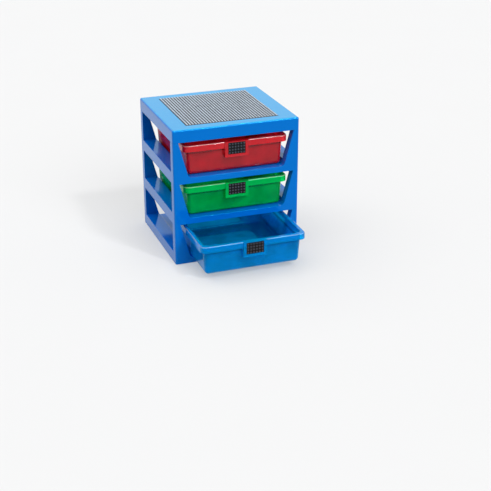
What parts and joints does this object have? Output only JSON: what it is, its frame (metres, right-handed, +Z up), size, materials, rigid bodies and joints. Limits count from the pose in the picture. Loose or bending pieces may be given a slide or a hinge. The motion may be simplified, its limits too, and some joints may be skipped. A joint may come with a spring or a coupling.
{
  "type": "storage drawer rack",
  "caption": "Brick shaped storage rack: stacked blue tiers with a studded plate on top and translucent pull-out drawers with studded front plates.",
  "frame": {"origin": "middle of the rack's footprint, on the surface that it stands on", "axes": "+Z up, -Y out of the front where the drawers pull out, +X to the right seen from the front"},
  "size_m": [0.35, 0.4599, 0.3767],
  "materials": {
    "rack_plastic": "smooth moulded blue polypropylene with a soft gloss",
    "cap_plate_plastic": "smooth mid-grey moulded plastic",
    "red_clear_plastic": "translucent red moulded plastic, glossy",
    "green_clear_plastic": "translucent green moulded plastic, glossy",
    "blue_clear_plastic": "translucent blue moulded plastic, glossy",
    "front_plate_plastic": "smooth black moulded plastic"
  },
  "bodies": {
    "rack": {"bottom_tier": "rack_plastic", "middle_tier": "rack_plastic", "top_tier": "rack_plastic", "top_cap": "rack_plastic", "cap_stud_plate": "cap_plate_plastic"},
    "red_unit": {"red_drawer": "red_clear_plastic", "red_stud_plate": "front_plate_plastic"},
    "green_unit": {"green_drawer": "green_clear_plastic", "green_stud_plate": "front_plate_plastic"},
    "blue_unit": {"blue_drawer": "blue_clear_plastic", "blue_stud_plate": "front_plate_plastic"}
  },
  "joints": [
    {"name": "red_slide", "type": "slide", "parent": "rack", "child": "red_unit", "axis": [0, -1, 0], "range_m": [0, 0.32]},
    {"name": "green_slide", "type": "slide", "parent": "rack", "child": "green_unit", "axis": [0, -1, 0], "range_m": [0, 0.32]},
    {"name": "blue_slide", "type": "slide", "parent": "rack", "child": "blue_unit", "axis": [0, -1, 0], "range_m": [-0.14, 0.18]}
  ]
}
